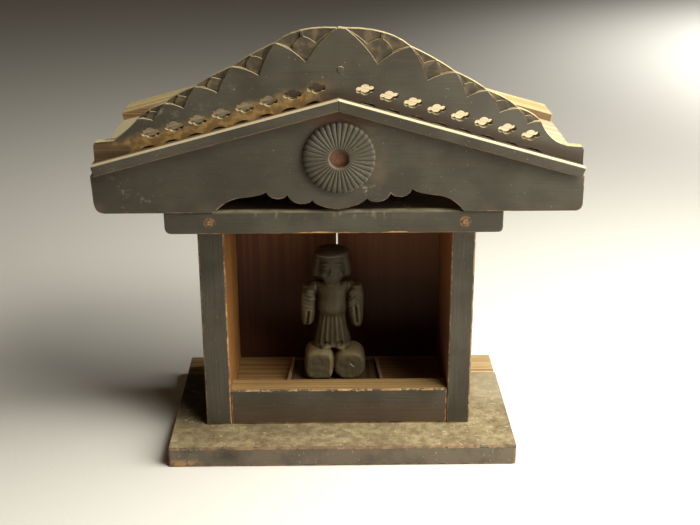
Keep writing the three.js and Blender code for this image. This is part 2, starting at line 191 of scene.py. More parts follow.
lamp("window", azimuth=70, elevation=36, distance=0.9, size=1.0, watts=25.5, tint=(1.0, 0.98, 0.915))
lamp("shoulder", azimuth=36, elevation=52, distance=1.5, size=0.5, watts=6.5, tint=(1.0, 0.95, 0.84))
lamp("far_window", azimuth=0, elevation=89, distance=0.95, size=0.8, watts=41, tint=(1.0, 1.0, 0.97),
     aim=FAR_RIGHT, spread=120)
room = bpy.data.worlds.new("room")
room.use_nodes = True
room.node_tree.nodes["Background"].inputs[0].default_value = ROOM_TINT
room.node_tree.nodes["Background"].inputs[1].default_value = ROOM_STRENGTH
scene.world = room


# ---- base ---------------------------------------------------------------------------------------
# One broad plank, stained dark long ago. Its top has gone dusty and pale, with paint flecks, and
# its edges are rubbed. On the top, the back left is darker with stain and painted shade, and the
# back of the right end is paler with painted light. A second, bare strip with open grain is butted
# on behind it.

STAIN = colour(0.043, 0.036, 0.0235)
STAIN_DEEP_AND_SHADE = colour(0.028, 0.022, 0.014)
STAIN_DUSTY = colour(0.066, 0.058, 0.04)
STAIN_WARM = colour(0.1, 0.056, 0.026)
DUST = colour(0.66, 0.62, 0.52)
RUBBED = colour(0.3, 0.155, 0.07)
GOLDEN = colour(0.46, 0.29, 0.13)
FRONT_DUST = colour(0.18, 0.142, 0.096)
TOP_BROWN, TOP_DUSTY = colour(0.17, 0.125, 0.06), colour(0.38, 0.31, 0.17)
TOP_PATCH = colour(0.12, 0.078, 0.042)
TOP_STAINED_AND_SHADED, TOP_PAINTED_LIGHT = colour(0.055, 0.038, 0.023), colour(0.42, 0.36, 0.24)
PAINT_SPECK, PAINT_SPLASH = colour(0.62, 0.58, 0.42), colour(0.5, 0.46, 0.28)
BROKEN_CORNER = colour(0.42, 0.22, 0.09)
BASE_EDGE, BASE_EDGE_PALE = colour(0.17, 0.085, 0.04), colour(0.32, 0.18, 0.085)
STRIP_LIGHT, STRIP_DARK = colour(0.56, 0.41, 0.2), colour(0.3, 0.175, 0.07)
ALONG_X = (0.05, 1, 1)
SMOOTH_BELOW = math.radians(40)


def looking_up(facing, low=0.6, high=0.9):
    """1 on faces that look up, or down where both bounds are below 0."""
    return facing.parts()[2].rise(low, high)


def looking_front(facing):
    """1 on faces that look to the front."""
    return facing.parts()[1].rise(-0.5, -0.8)


def stain(place, along, seed=0.0, warm=0.35):
    """Old thin stain on planed wood: its colour, and the height of its grain."""
    cloud = place.noise(26, detail=4, at=(seed, 0, 0))
    grain = place.noise(700, along, detail=4, rough=0.6, at=(seed, seed, 0))
    streak = place.noise(130, along, detail=3, rough=0.55, at=(0, seed, 0))
    shade = cloud.rise(0.34, 0.66).blend(STAIN, STAIN_DUSTY)
    shade = (grain.rise(0.5, 0.68) * 0.32).blend(shade, STAIN_DEEP_AND_SHADE)
    shade = (streak.rise(0.58, 0.78) * warm).blend(shade, STAIN_WARM)
    flecks = place.noise(750, detail=1, at=(seed, 0, seed)).rise(0.76, 0.8)
    shade = (flecks * 0.4).blend(shade, DUST)
    return shade, grain + cloud * 0.5


def bare(place, along, light, dark, seed=0.0, lines=240):
    """Bare softwood with its darker late grain as long lines: its colour and height."""
    line = place.noise(lines, [s ** 1.5 for s in along], detail=3, rough=0.6, at=(seed, 0, 0))
    fine = place.noise(1100, along, detail=3, rough=0.6, at=(0, seed, 0))
    cloud = place.noise(22, detail=3, at=(seed, seed, 0))
    shade = line.rise(0.42, 0.62).blend(light, dark)
    shade = (fine.rise(0.5, 0.7) * 0.35).blend(shade, dark)
    shade = (cloud.rise(0.42, 0.72) * 0.4).blend(shade, dark)
    return shade, fine - line * 0.8


def rubbed_edge(name, along, amount, wood=RUBBED, pale=GOLDEN, seed=0.0):
    """The finish of a worn arris: stain where it survives, wood where it is rubbed through."""
    material, place, facing = new_finish(name)
    shade, height = stain(place, along, seed)
    patch = place.noise(70, detail=4, rough=0.65, at=(seed, 0, 0)) + place.noise(420, detail=2) * 0.35
    through = patch.rise(0.9 - 0.45 * amount, 0.98 - 0.45 * amount)
    tone = place.noise(160, detail=3, at=(0, 0, seed)).rise(0.4, 0.64).blend(wood, pale)
    shade = through.blend(shade, tone)
    finish_with(place, shade, roughness=0.62, height=height - through * 0.6, depth=0.0004)
    return material


def copied(node):
    """A CAD node's mesh, merged and with its flat faces in one piece each."""
    made = bmesh.new()
    made.from_mesh(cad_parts[node].data)
    bmesh.ops.remove_doubles(made, verts=made.verts, dist=2e-6)
    bmesh.ops.dissolve_limit(made, angle_limit=math.radians(0.5), verts=made.verts, edges=made.edges)
    return made


def sliced(made, axis, step):
    """Cuts across the piece every step, so that its long edges can wear unevenly."""
    low = min(v.co[axis] for v in made.verts)
    high = max(v.co[axis] for v in made.verts)
    for i in range(1, int((high - low) / step)):
        point, way = Vector((0, 0, 0)), Vector((0, 0, 0))
        point[axis], way[axis] = low + i * step, 1
        whole = made.verts[:] + made.edges[:] + made.faces[:]
        bmesh.ops.bisect_plane(made, geom=whole, plane_co=point, plane_no=way, dist=1e-5)


def worn_edges(made, width, chips=0.0, seed=0.0, angle=30):
    """Rounds every arris and pares its middle back unevenly. Its faces get the second finish."""
    sharp = [e for e in made.edges if e.is_manifold and e.calc_face_angle(0) > math.radians(angle)]
    rounded = bmesh.ops.bevel(made, geom=sharp, offset=width, offset_type="OFFSET", affect="EDGES",
                              segments=2, profile=0.5, clamp_overlap=True, material=-1)
    for face in made.faces:
        face.material_index = 0
    for face in rounded["faces"]:
        face.material_index = 1
    made.normal_update()
    arris_points = [v for v in made.verts if all(face.material_index == 1 for face in v.link_faces)]
    for v in arris_points:
        rough = noise.fractal(v.co * 150 + Vector((seed, 0, 0)), 0.8, 2.0, 3)
        v.co -= v.normal * chips * min(max(rough, 0.0), 1.0)


def settle(made, name, node, finishes):
    """Makes the finished object, dressed, standing for its CAD node and riding on the shrine."""
    mesh = bpy.data.meshes.new(name)
    made.to_mesh(mesh)
    made.free()
    mesh.set_sharp_from_angle(angle=SMOOTH_BELOW)
    if mesh.has_custom_normals:
        mesh.attributes.remove(mesh.attributes["custom_normal"])
    for face in mesh.polygons:
        face.use_smooth = face.material_index == 1 or len(finishes) == 1
    for finish in finishes:
        mesh.materials.append(finish)
    dressed = bpy.data.objects.new(name, mesh)
    scene.collection.objects.link(dressed)
    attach(dressed, "root")
    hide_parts(node)
    return dressed


low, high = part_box("base_board")
base_finish, place, facing = new_finish("base_stain")
x, y, z = place.parts()
shade, height = stain(place, ALONG_X, seed=3.0, warm=0.6)
dust = place.noise(40, detail=5, rough=0.6).rise(0.2, 0.6)
shade = (dust * 0.7).blend(shade, FRONT_DUST)
top_shade = place.noise(130, detail=6, rough=0.72).rise(0.3, 0.7).blend(TOP_BROWN, TOP_DUSTY)
brown = place.noise(38, detail=4, rough=0.6, at=(1, 0, 5)).rise(0.42, 0.66)
top_shade = (brown * 0.45).blend(top_shade, TOP_PATCH)
# Painted shade over stain: the back left of the top, beside the side board, is darker.
stained_and_shaded = x.rise(low.x + 0.0576, low.x + 0.0226) * y.rise(low.y + 0.0221, low.y + 0.0541)
top_shade = (stained_and_shaded * 0.6).blend(top_shade, TOP_STAINED_AND_SHADED)
# Painted light: the back of the right end of the top is paler.
painted_light_right = x.rise(high.x - 0.0474, high.x - 0.0074) * y.rise(low.y + 0.0541, low.y + 0.1041)
top_shade = (painted_light_right * 0.5).blend(top_shade, TOP_PAINTED_LIGHT)
shade = looking_up(facing).blend(shade, top_shade)
speck_area = place.noise(32, at=(2, 2, 0)).rise(0.35, 0.65)
specks = place.noise(520, detail=1, at=(4, 0, 0)).rise(0.7, 0.76) * speck_area
shade = (specks * 0.65).blend(shade, PAINT_SPECK)
broken = x.near(low.x, 0.034) * z.near(low.z, 0.0085) * place.noise(200, detail=3).rise(0.36, 0.5)
shade = (broken * 0.8).blend(shade, BROKEN_CORNER)
splash = place.noise(260, detail=3, at=(0, 9, 0)).rise(0.64, 0.72) * 0.7
shade = (splash * looking_up(facing)).blend(shade, PAINT_SPLASH)
finish_with(place, shade, roughness=0.7, height=height + specks * 0.6, depth=0.0005)
base = copied("base_board")
sliced(base, axis=0, step=0.005)
worn_edges(base, width=0.0005, chips=0.0004, seed=1.0, angle=20)
base_edge = rubbed_edge("base_edge", ALONG_X, 0.75, BASE_EDGE, BASE_EDGE_PALE, seed=2.0)
settle(base, "base_plank", "base_board", [base_finish, base_edge])

strip_finish, place, facing = new_finish("bare_strip")
shade, height = bare(place, ALONG_X, STRIP_LIGHT, STRIP_DARK, seed=5.0, lines=320)
finish_with(place, shade, roughness=0.75, height=height, depth=0.0009)
strip = copied("base_rear_strip")
sliced(strip, axis=0, step=0.008)
worn_edges(strip, width=0.0006, chips=0.0004, seed=2.0)
settle(strip, "base_strip", "base_rear_strip", [strip_finish, strip_finish])


# ---- side boards --------------------------------------------------------------------------------
# Two thick planks stand on the base. Outside and in front they are stained, and inside they keep
# the golden wood. Their inner arrises are chipped through to it.

INSIDE_LIGHT, INSIDE_DARK = colour(0.33, 0.15, 0.038), colour(0.2, 0.08, 0.02)
INSIDE_SHADED = colour(0.13, 0.055, 0.024)
SIDE_EDGE, SIDE_EDGE_PALE = colour(0.17, 0.09, 0.042), colour(0.36, 0.23, 0.11)
ALONG_Z = (1, 1, 0.05)
CHIP_REACH = 0.0042
LEFT_SET_BACK, RIGHT_SET_BACK = 0.0017, 0.0023

for node, side in (("left_side", -1), ("right_side", 1)):
    low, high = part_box(node)
    inner, set_back = (high.x, LEFT_SET_BACK) if side < 0 else (low.x, RIGHT_SET_BACK)
    side_finish, place, facing = new_finish(node + "_stain")
    x, y, z = place.parts()
    shade, height = stain(place, ALONG_Z, seed=8.0 + side, warm=0.5)
    inside, _ = bare(place, ALONG_Z, INSIDE_LIGHT, INSIDE_DARK, seed=2.0 + side, lines=300)
    if side > 0:
        inside = z.rise(high.z, low.z + 0.06).blend(inside, INSIDE_SHADED)
    shade = (facing.parts()[0] * -side).rise(0.5, 0.8).blend(shade, inside)
    chipped = place.noise(95, (1, 1, 0.5), detail=4, rough=0.6, at=(side, 0, 0)) * CHIP_REACH
    worn = x.off(inner) - chipped + set_back
    shade = (worn.rise(0.0002, -0.0002) * looking_front(facing)).blend(shade, GOLDEN)
    finish_with(place, shade, roughness=0.6, height=height, depth=0.0004)
    board = copied(node)
    sliced(board, axis=2, step=0.005)
    worn_edges(board, width=0.0004, chips=0.0003, seed=4.0 + side)
    edge_finish = rubbed_edge(node + "_edge", ALONG_Z, 0.7, SIDE_EDGE, SIDE_EDGE_PALE, seed=6.0 + side)
    settle(board, node + "_plank", node, [side_finish, edge_finish])


# ---- back, floor and sill -----------------------------------------------------------------------
# The back is two boards whose joint has opened a little at the top. The floor is a bare board, and
# the sill crosses its front: stained outside, bare on top, with a joint line behind its face.

BACK_LIGHT, BACK_DARK = colour(0.16, 0.054, 0.012), colour(0.105, 0.034, 0.007)
BACK_LIT, BACK_PAINTED_SHADE = colour(0.24, 0.085, 0.02), colour(0.03, 0.009, 0.004)
FLOOR_LIGHT, FLOOR_DARK = colour(0.33, 0.195, 0.072), colour(0.19, 0.105, 0.037)
FLOOR_SHADED = colour(0.07, 0.036, 0.014)
SILL_FOOT = colour(0.1, 0.055, 0.028)
SILL_LIGHT, SILL_DARK = colour(0.36, 0.24, 0.095), colour(0.24, 0.145, 0.052)
SILL_SHADED, SILL_JOINT = colour(0.11, 0.07, 0.028), colour(0.09, 0.05, 0.02)
SILL_SCRAPE, SILL_EDGE = colour(0.22, 0.11, 0.05), colour(0.3, 0.16, 0.06)
FRESH_CHIP, CREAM = colour(0.5, 0.26, 0.09), colour(0.68, 0.55, 0.34)
JOINT_BEHIND, JOINT_WIDTH = 0.013, 0.0006

top_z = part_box("back_board_left")[1].z
joint_x = (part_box("back_board_left")[1].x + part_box("back_board_right")[0].x) / 2
back_finish, place, facing = new_finish("back_brown")
x, y, z = place.parts()
shade, height = bare(place, ALONG_Z, BACK_LIGHT, BACK_DARK, seed=1.0, lines=300)
shade = (x.rise(joint_x - 0.029, joint_x + 0.051) * 0.4).blend(shade, BACK_LIT)
# Painted shade: the back boards darken towards the bottom.
painted_shade_low = z.rise(top_z - 0.041, top_z - 0.116)
shade = (painted_shade_low * 0.8).blend(shade, BACK_PAINTED_SHADE)
finish_with(place, shade, roughness=0.6, height=height, depth=0.0005)
for node in ("back_board_left", "back_board_right"):
    board = copied(node)
    worn_edges(board, width=0.0003)
    settle(board, node + "_plank", node, [back_finish, back_finish])

low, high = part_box("floor_board")
floor_finish, place, facing = new_finish("niche_floor")
x, y, z = place.parts()
shade, height = bare(place, ALONG_X, FLOOR_LIGHT, FLOOR_DARK, seed=9.0, lines=260)
shade = (x.rise(high.x - 0.0772, high.x - 0.0272) * 0.6).blend(shade, FLOOR_SHADED)
finish_with(place, shade, roughness=0.65, height=height, depth=0.0005)
board = copied("floor_board")
worn_edges(board, width=0.0003)
settle(board, "niche_floor", "floor_board", [floor_finish, floor_finish])

low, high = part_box("front_sill")
middle = (low + high) / 2
sill_finish, place, facing = new_finish("sill_stain")
x, y, z = place.parts()
shade, height = stain(place, ALONG_X, seed=12.0, warm=0.9)
shade = (z.rise(high.z, low.z) * 0.55).blend(shade, SILL_FOOT)
top_shade, _ = bare(place, ALONG_X, SILL_LIGHT, SILL_DARK, seed=3.0, lines=420)
top_shade = (x.rise(high.x - 0.0622, high.x - 0.0122) * 0.4).blend(top_shade, SILL_SHADED)
joint = y.near(low.y + JOINT_BEHIND, JOINT_WIDTH)
top_shade = (joint * 0.75).blend(top_shade, SILL_JOINT)
shade = looking_up(facing).blend(shade, top_shade)
most_worn = x.near(middle.x - 0.0097, 0.05)
chipped = place.noise(110, detail=4, rough=0.6) * 0.007 - 0.0034 + most_worn * 0.0005
lost = (high.z - z - chipped).rise(0.0003, -0.0002) * looking_front(facing)
shade = lost.blend(shade, place.noise(60).rise(0.42, 0.6).blend(FRESH_CHIP, CREAM))
scrapes = place.noise(300, ALONG_X, detail=3, rough=0.6, at=(0, 4, 1)).rise(0.66, 0.72)
shade = (scrapes * looking_front(facing) * 0.5).blend(shade, SILL_SCRAPE)
finish_with(place, shade, roughness=0.6, height=height, depth=0.0004)
board = copied("front_sill")
sliced(board, axis=0, step=0.005)
worn_edges(board, width=0.0005, chips=0.0004, seed=5.0)
sill_edge = rubbed_edge("sill_edge", ALONG_X, 0.7, SILL_EDGE, GOLDEN, seed=8.0)
settle(board, "sill_plank", "front_sill", [sill_finish, sill_edge])


# ---- top board and pegs -------------------------------------------------------------------------
# A plank laid on the sides, with its front edge showing as a lintel. Its lower arris is rubbed to
# golden wood at the middle, its top is dusty along the front ledge and painted dark behind it as
# painted shade, and two round pegs end in its face.

LINTEL_RUB, LINTEL_DUST = colour(0.46, 0.26, 0.09), colour(0.27, 0.23, 0.12)
ATTIC_PAINTED_SHADE = colour(0.03, 0.02, 0.013)
LEDGE_BROWN, LEDGE_DUSTY = colour(0.16, 0.13, 0.075), colour(0.3, 0.26, 0.16)
PEG_HALO, PEG_RIM = colour(0.28, 0.14, 0.05), colour(0.07, 0.04, 0.02)
PEG_DARK, PEG_LIGHT = colour(0.11, 0.05, 0.02), colour(0.34, 0.18, 0.07)
ALONG_Y = (1, 0.05, 1)
LEDGE_END, ATTIC_START = 0.005, 0.0085
PEGS = ("lintel_peg_left", "lintel_peg_right")


def far_squared(x, z, middle):
    """The square of the distance from an axis that runs from front to back."""
    return (x - middle.x) * (x - middle.x) + (z - middle.z) * (z - middle.z)


low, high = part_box("top_board")
middle = (low + high) / 2
top_finish, place, facing = new_finish("lintel_stain")
x, y, z = place.parts()
shade, height = stain(place, ALONG_X, seed=15.0, warm=0.45)
most_rubbed = x.near(middle.x + 0.01335, 0.1)
rub = place.noise(90, (0.5, 1, 1), detail=4, rough=0.6) * 0.006 - 0.0031 + most_rubbed * 0.0008
lost = (z - low.z - rub).rise(0.0003, -0.0002) * looking_front(facing)
shade = lost.blend(shade, LINTEL_RUB)
ledge = place.noise(80).rise(0.35, 0.65).blend(LEDGE_BROWN, LEDGE_DUSTY)
# Painted shade: the top behind its front ledge is dark.
top_shade = y.rise(low.y + ATTIC_START, low.y + LEDGE_END).blend(ATTIC_PAINTED_SHADE, ledge)
shade = looking_up(facing).blend(shade, top_shade)
under, _ = bare(place, ALONG_Y, INSIDE_LIGHT, INSIDE_DARK, seed=6.0, lines=300)
shade = looking_up(facing, -0.6, -0.9).blend(shade, under)
for node in PEGS:
    peg_low, peg_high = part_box(node)
    close = far_squared(x, z, (peg_low + peg_high) / 2).rise(0.0052 ** 2, 0.0025 ** 2)
    halo = close * place.noise(420, detail=3, rough=0.6).rise(0.36, 0.56)
    shade = (halo * 0.8).blend(shade, PEG_HALO)
dusty = place.noise(150, (1, 1, 0.4), detail=4, rough=0.65).rise(0.56, 0.68)
dusty = dusty * z.rise(high.z - 0.008, high.z - 0.001) * x.near(middle.x - 0.00165, 0.09)
shade = (dusty * 0.4).blend(shade, LINTEL_DUST)
finish_with(place, shade, roughness=0.6, height=height, depth=0.0004)
board = copied("top_board")
sliced(board, axis=0, step=0.005)
worn_edges(board, width=0.00045, chips=0.0004, seed=6.0)
lintel_edge = rubbed_edge("lintel_edge", ALONG_X, 0.55, seed=11.0)
settle(board, "lintel_plank", "top_board", [top_finish, lintel_edge])

for node in PEGS:
    low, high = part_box(node)
    peg_finish, place, facing = new_finish(node + "_end")
    x, y, z = place.parts()
    scuff = place.noise(900, detail=3, rough=0.6)
    shade = scuff.rise(0.42, 0.66).blend(PEG_DARK, PEG_LIGHT)
    at_rim = far_squared(x, z, (low + high) / 2).rise(0.002 ** 2, 0.0026 ** 2)
    shade = at_rim.blend(shade, PEG_RIM)
    finish_with(place, shade, roughness=0.6, height=scuff, depth=0.0004)
    peg = copied(node)
    worn_edges(peg, width=0.0004)
    settle(peg, node + "_plug", node, [peg_finish, peg_finish])


# ---- gable --------------------------------------------------------------------------------------
# A broad thin board, sawn to the roof's pitch with a scalloped lower edge. Its left corner is
# handled to brown, pale smudges lie low on the left, and a brown bloom shows above the rosette. A
# plain board of bare wood carries the roof behind.

SMUDGE, BLOOM = colour(0.3, 0.28, 0.21), colour(0.085, 0.042, 0.02)
ROSETTE_HALO, ROSETTE_SCUFF = colour(0.12, 0.085, 0.045), colour(0.4, 0.33, 0.2)
HANDLED, LOWER_BROWN = colour(0.12, 0.07, 0.04), colour(0.1, 0.068, 0.042)
GABLE_EDGE, GABLE_EDGE_PALE = colour(0.17, 0.085, 0.045), colour(0.27, 0.16, 0.09)
REAR_LIGHT, REAR_DARK = colour(0.42, 0.28, 0.135), colour(0.24, 0.14, 0.06)
RUBBED_RIM = 0.0005

low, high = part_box("gable_board")
rose_low, rose_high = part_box("rosette")
middle, rose_middle = (low + high) / 2, (rose_low + rose_high) / 2
gable_finish, place, facing = new_finish("gable_stain")
x, y, z = place.parts()
shade, height = stain(place, ALONG_X, seed=20.0, warm=0.25)
# Painted shade: the left part of the gable is darkened.
shade = (x.rise(middle.x + 0.02, middle.x - 0.06) * 0.35).blend(shade, STAIN_DEEP_AND_SHADE)
smudge = place.noise(110, detail=5, rough=0.7).rise(0.55, 0.72)
smudge = smudge * x.near(low.x + 0.026, 0.034) * z.near(low.z + 0.015, 0.018)
shade = (smudge * 0.42).blend(shade, SMUDGE)
bloom = x.near(rose_middle.x + 0.003, 0.036) * z.near(high.z - 0.005, 0.011)
shade = (bloom * place.noise(60).rise(0.2, 0.55) * 0.85).blend(shade, BLOOM)
halo = x.near(rose_high.x - 0.001, 0.013) * z.near(rose_low.z + 0.03, 0.036)
shade = (halo * place.noise(85, detail=4).rise(0.4, 0.65) * 0.45).blend(shade, ROSETTE_HALO)
scuffs = x.near(rose_high.x - 0.004, 0.009) * z.near(rose_low.z + 0.001, 0.006)
scuffs = scuffs * place.noise(330, detail=3).rise(0.54, 0.64)
shade = (scuffs * 0.45).blend(shade, ROSETTE_SCUFF)
corner = x.near(low.x, 0.012) * z.near(low.z, 0.012)
shade = (corner * 0.45).blend(shade, HANDLED)
lower = z.rise(low.z + 0.012, low.z - 0.001) * place.noise(48).rise(0.45, 0.65)
shade = (lower * 0.4).blend(shade, LOWER_BROWN)
finish_with(place, shade, roughness=0.55, height=height, depth=0.0003)
gable = copied("gable_board")
sliced(gable, axis=0, step=0.006)
worn_edges(gable, width=0.0006, chips=0.0003, seed=7.0)
front_faces = [f for f in gable.faces if f.material_index == 0 and f.normal.y < -0.9]
rim = bmesh.ops.inset_region(gable, faces=front_faces, thickness=RUBBED_RIM, use_even_offset=True)
for face in rim["faces"]:
    face.material_index = 1
gable_edge = rubbed_edge("gable_edge", ALONG_X, 0.55, GABLE_EDGE, GABLE_EDGE_PALE, seed=13.0)
settle(gable, "gable_front", "gable_board", [gable_finish, gable_edge])

rear_gable_finish, place, facing = new_finish("rear_gable_bare")
shade, height = bare(place, ALONG_X, REAR_LIGHT, REAR_DARK, seed=14.0, lines=200)
finish_with(place, shade, roughness=0.75, height=height, depth=0.0006)
rear = copied("rear_gable")
sliced(rear, axis=0, step=0.02)
worn_edges(rear, width=0.0005, chips=0.0003, seed=8.0)
settle(rear, "gable_rear", "rear_gable", [rear_gable_finish, rear_gable_finish])


# ---- rosette ------------------------------------------------------------------------------------
# A round wooden disc cut with 36 rounded flutes about a sunk eye, and fixed to the gable. Its
# ridges are rubbed pale, and the eye shows red-brown wood. The right of its rim and the lower left
# of the eye's lip are paler as painted light.

FLUTES = 36
EYE_RADIUS, EYE_DEPTH = 0.0074, 0.0036
GROOVE, RIM_BITE = 0.0008, 0.0008
ACROSS = 10
FLUTE_SHADOW, RIDGE_GRIT = colour(0.026, 0.02, 0.014), colour(0.12, 0.1, 0.058)
RIM_PAINTED_LIGHT, LIP_PAINTED_LIGHT = colour(0.24, 0.18, 0.09), colour(0.3, 0.19, 0.1)
EYE_DARK, EYE_LIGHT = colour(0.058, 0.023, 0.009), colour(0.12, 0.052, 0.023)

low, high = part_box("rosette")
middle = (low + high) / 2
reach = (high.x - low.x) / 2
front, rear_face = low.y, high.y
thickness = rear_face - front

# Rings from the eye out and round to the back: radius, depth from the front, share of the flute.
EYE_ROWS = [
    (0.0, EYE_DEPTH, 0), (EYE_RADIUS - 0.0008, EYE_DEPTH, 0), (EYE_RADIUS, EYE_DEPTH - 0.0006, 0),
    (EYE_RADIUS, 0.0006, 0), (EYE_RADIUS + 0.0006, 0.0001, 0.25),
]
FACE_ROWS = [(0.0105, 0.0, 0.7), (0.015, 0.0, 0.9), (0.02, 0.0002, 1.0), (0.0245, 0.0008, 1.0)]
RIM_ROWS = [(reach - 0.0008, 0.0016, 1.0), (reach, 0.0028, 1.0), (reach, thickness, 1.0)]
ROWS = EYE_ROWS + FACE_ROWS + RIM_ROWS + [(0.0, thickness, 0)]
first_rim_row = len(EYE_ROWS + FACE_ROWS)

rose = bmesh.new()
bmesh.ops.create_grid(rose, x_segments=len(ROWS) - 1, y_segments=ACROSS, size=1)
for v in rose.verts:
    row = round((v.co.x + 1) / 2 * (len(ROWS) - 1))
    share = v.co.y
    radius, depth, fluted = ROWS[row]
    valley = abs(share) ** 2.6
    if first_rim_row <= row < len(ROWS) - 1:
        radius -= RIM_BITE * valley
    turn = share * math.pi / FLUTES
    sunk = min(depth + fluted * GROOVE * valley, thickness)
    v.co = Vector((middle.x + radius * math.cos(turn), front + sunk, middle.z + radius * math.sin(turn)))
bmesh.ops.spin(rose, geom=rose.verts[:] + rose.edges[:] + rose.faces[:], cent=middle, axis=(0, 1, 0),
               angle=2 * math.pi, steps=FLUTES, use_duplicate=True, use_merge=False)
bmesh.ops.remove_doubles(rose, verts=rose.verts, dist=2e-5)
bmesh.ops.recalc_face_normals(rose, faces=rose.faces)

rose_finish, place, facing = new_finish("rosette_stain")
x, y, z = place.parts()
shade, height = stain(place, (1, 1, 1), seed=31.0, warm=0.3)
ridge = y.rise(front + 0.0012, front + 0.0002)
shade = ((1 - ridge) * 0.5).blend(shade, FLUTE_SHADOW)
patch = place.noise(70, detail=4, rough=0.6).rise(0.4, 0.62)
grit = place.noise(700, detail=3, rough=0.7, at=(1, 0, 3)).rise(0.4, 0.7)
shade = (ridge * (patch * 0.15 + grit * 0.3)).blend(shade, RIDGE_GRIT)
far = far_squared(x, z, middle)
side_x, side_z = x - middle.x, z - middle.z
# Painted light: the right side of the rim is paler.
rim = far.rise((reach - 0.0022) ** 2, (reach - 0.0004) ** 2) * side_x.rise(-0.004, 0.012)
shade = (rim * 0.28).blend(shade, RIM_PAINTED_LIGHT)
eye = far.rise((EYE_RADIUS + 0.0008) ** 2, (EYE_RADIUS - 0.0004) ** 2)
eye_shade = place.noise(180, detail=4, rough=0.6).rise(0.38, 0.66).blend(EYE_DARK, EYE_LIGHT)
shade = eye.blend(shade, eye_shade)
# Painted light: the lower left of the eye's lip is paler.
outside_eye = far.rise((EYE_RADIUS - 0.0002) ** 2, EYE_RADIUS ** 2)
lip = outside_eye * far.rise((EYE_RADIUS + 0.001) ** 2, (EYE_RADIUS + 0.0004) ** 2)
shade = (lip * (side_x + side_z).rise(0.004, -0.004) * 0.35).blend(shade, LIP_PAINTED_LIGHT)
finish_with(place, shade, roughness=0.55, height=height, depth=0.0003)
settle(rose, "fluted_rosette", "rosette", [rose_finish])


# ---- roof ---------------------------------------------------------------------------------------
# Two planks meet in a mitre at the ridge. Their front edges are stained, and their tops are bare
# wood with dirt mottling. The left top is painted darker and dirtier than the right as painted
# shade, and paler at its far end as painted light. Thicker bare strips run along the back of each
# slope, their front faces painted darker than their tops as painted shade.

LEFT_TOP_SHADED_LIGHT, LEFT_TOP_SHADED_DARK = colour(0.47, 0.37, 0.22), colour(0.27, 0.2, 0.115)
RIGHT_TOP_LIT_LIGHT, RIGHT_TOP_LIT_DARK = colour(0.6, 0.49, 0.31), colour(0.36, 0.26, 0.14)
TOP_DIRT_AND_SHADE = colour(0.17, 0.145, 0.1)
LEFT_END_PAINTED_LIGHT, RIDGE_BROWN = colour(0.56, 0.48, 0.28), colour(0.045, 0.025, 0.014)
LEFT_BY_CREST, RIGHT_BY_CREST = colour(0.2, 0.12, 0.05), colour(0.055, 0.038, 0.024)
CLEAN_STRAW, CLEAN_PALE = colour(0.56, 0.44, 0.25), colour(0.7, 0.6, 0.4)
UNDER_LIGHT, UNDER_DARK = colour(0.3, 0.17, 0.075), colour(0.17, 0.09, 0.04)
ROOF_EDGE, ROOF_EDGE_PALE = colour(0.26, 0.125, 0.062), colour(0.44, 0.3, 0.16)
REAR_TOP_LIGHT, REAR_TOP_DARK = colour(0.6, 0.48, 0.24), colour(0.4, 0.28, 0.12)
LEFT_REAR_FACE_SHADE, RIGHT_REAR_FACE_SHADE = colour(0.34, 0.2, 0.08), colour(0.17, 0.115, 0.06)
REAR_FACE_SHADE_DARK = colour(0.15, 0.09, 0.042)
ALONG_SLOPE = (0.05, 1, 0.05)

for node, side in (("roof_left", -1), ("roof_right", 1)):
    low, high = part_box(node)
    roof_finish, place, facing = new_finish(node + "_finish")
    x, y, z = place.parts()
    shade, height = stain(place, ALONG_X, seed=40.0 + side, warm=0.35)
    # Painted light and shade: the right top is a lit, paler copy, and the left a shaded, darker and
    # dirtier one.
    light, dark = (RIGHT_TOP_LIT_LIGHT, RIGHT_TOP_LIT_DARK) if side > 0 else (LEFT_TOP_SHADED_LIGHT, LEFT_TOP_SHADED_DARK)
    bare_top, _ = bare(place, ALONG_SLOPE, light, dark, seed=17.0 + side, lines=260)
    dirt_and_shade = place.noise(60, detail=5, rough=0.6).rise(0.46, 0.7)
    bare_top = (dirt_and_shade * (0.25 if side > 0 else 0.6)).blend(bare_top, TOP_DIRT_AND_SHADE)
    if side < 0:
        # Painted light: the far left end of the left top is paler.
        bare_top = x.rise(low.x + 0.036, low.x + 0.018).blend(bare_top, LEFT_END_PAINTED_LIGHT)
        bare_top = (x.rise(high.x - 0.062, high.x - 0.04) * 0.9).blend(bare_top, RIDGE_BROWN)
    by_crest = y.rise(low.y + 0.0118, low.y + 0.0105)
    bare_top = (by_crest * 0.9).blend(bare_top, LEFT_BY_CREST if side < 0 else RIGHT_BY_CREST)
    clean = place.noise(110, ALONG_SLOPE, detail=3).rise(0.35, 0.65).blend(CLEAN_STRAW, CLEAN_PALE)
    bare_top = y.rise(low.y + 0.0072, low.y + 0.0062).blend(bare_top, clean)
    shade = looking_up(facing, 0.55, 0.8).blend(shade, bare_top)
    under, _ = bare(place, ALONG_X, UNDER_LIGHT, UNDER_DARK, seed=19.0, lines=200)
    shade = looking_up(facing, -0.55, -0.8).blend(shade, under)
    finish_with(place, shade, roughness=0.6, height=height, depth=0.0004)
    plank = copied(node)
    sliced(plank, axis=0, step=0.006)
    worn_edges(plank, width=0.00045, chips=0.0004, seed=9.0 + side)
    edge_finish = rubbed_edge(node + "_edge", ALONG_X, 0.7, ROOF_EDGE, ROOF_EDGE_PALE, seed=21.0 + side)
    settle(plank, node + "_plank", node, [roof_finish, edge_finish])

